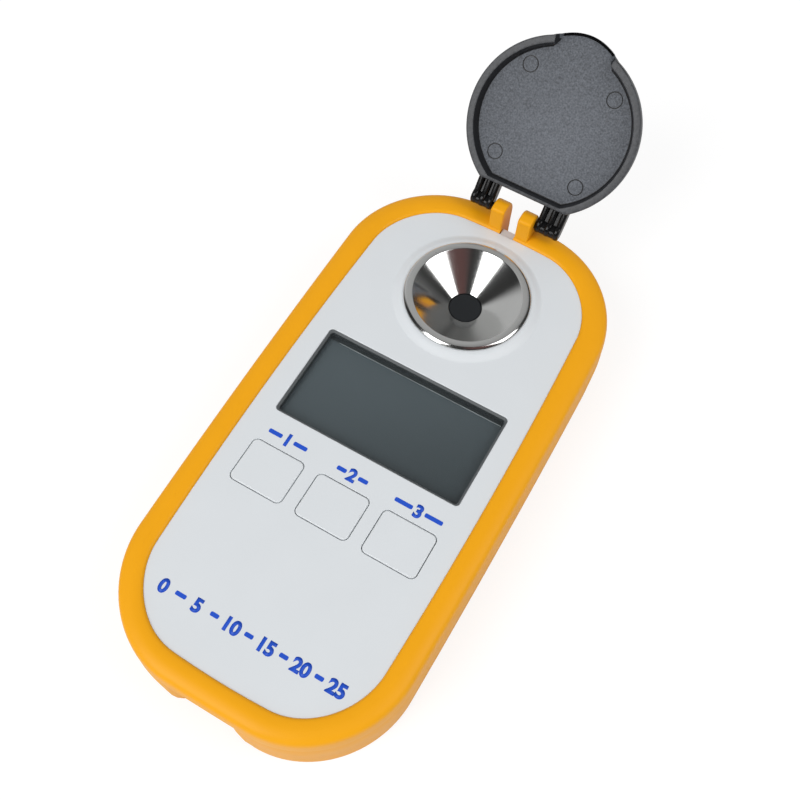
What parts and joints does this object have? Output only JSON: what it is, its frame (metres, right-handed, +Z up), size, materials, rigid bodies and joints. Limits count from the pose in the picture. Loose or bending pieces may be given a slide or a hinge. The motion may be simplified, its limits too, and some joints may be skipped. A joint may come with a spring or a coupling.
{
  "type": "digital refractometer",
  "caption": "Pocket digital refractometer: orange case, white face with display and keys, steel sample well with prism, and a hinged black lid, stored open.",
  "frame": {"origin": "on the flat underside, below the middle of the case", "axes": "+Z up out of the face, +Y along the case towards the lid's hinge, +X to the right of someone who reads the display"},
  "size_m": [0.06, 0.1411, 0.0528],
  "materials": {
    "orange_plastic": "satin moulded, fine texture",
    "white_plastic": "satin moulded",
    "lid_plastic": "spark-eroded floor, smooth rim",
    "black_plastic": "matt",
    "window": "smooth",
    "display_glass": "smooth, grey-green",
    "prism_glass": "polished",
    "lens_glass": "polished",
    "lamp_lens": "clear epoxy",
    "polished_steel": "mirror cone, satin ring",
    "zinc_steel": "zinc plated",
    "brass": "plain",
    "rubber": "matt",
    "circuit_board": "solder mask",
    "battery_jacket": "printed jacket"
  },
  "bodies": {
    "case": {"rear_case": "orange_plastic", "rim_frame": "orange_plastic", "front_panel": "white_plastic", "display_window": "window", "lcd_glass": "display_glass", "lcd_frame": "black_plastic", "lcd_contact_upper": "rubber", "lcd_contact_lower": "rubber", "key_switch_left": "black_plastic", "key_switch_middle": "black_plastic", "key_switch_right": "black_plastic", "main_board": "circuit_board", "control_chip": "black_plastic", "board_screw_left": "zinc_steel", "board_screw_right": "zinc_steel", "sample_well": "polished_steel", "well_seal": "rubber", "prism": "prism_glass", "optics_housing": "black_plastic", "lamp_board": "circuit_board", "sensor_board": "circuit_board", "lamp": "lamp_lens", "condenser_lens": "lens_glass", "line_sensor": "black_plastic", "temperature_sensor": "brass", "battery": "battery_jacket", "battery_contact": "zinc_steel", "battery_spring": "zinc_steel", "case_screw_1": "zinc_steel", "case_screw_2": "zinc_steel", "case_screw_3": "zinc_steel", "case_screw_4": "zinc_steel", "hinge_pin_left": "zinc_steel", "hinge_pin_right": "zinc_steel"},
    "lid": {"lid": "lid_plastic"},
    "battery_door": {"battery_door": "orange_plastic"},
    "key_left": {"key_cap_left": "white_plastic", "switch_plunger_left": "white_plastic"},
    "key_middle": {"key_cap_middle": "white_plastic", "switch_plunger_middle": "white_plastic"},
    "key_right": {"key_cap_right": "white_plastic", "switch_plunger_right": "white_plastic"}
  },
  "joints": [
    {"name": "lid_hinge", "type": "hinge", "parent": "case", "child": "lid", "pos_m": [0, 0.0564, 0.0228], "axis": [1, 0, 0], "range_deg": [0, 131.1]},
    {"name": "key_left_press", "type": "slide", "parent": "case", "child": "key_left", "axis": [0, 0, -1], "range_m": [0, 0.0005], "stiffness_N_per_m": 1200},
    {"name": "key_middle_press", "type": "slide", "parent": "case", "child": "key_middle", "axis": [0, 0, -1], "range_m": [0, 0.0005], "stiffness_N_per_m": 1200},
    {"name": "key_right_press", "type": "slide", "parent": "case", "child": "key_right", "axis": [0, 0, -1], "range_m": [0, 0.0005], "stiffness_N_per_m": 1200},
    {"name": "battery_door_slide", "type": "slide", "parent": "case", "child": "battery_door", "axis": [0, -1, 0], "range_m": [0, 0.046]}
  ]
}
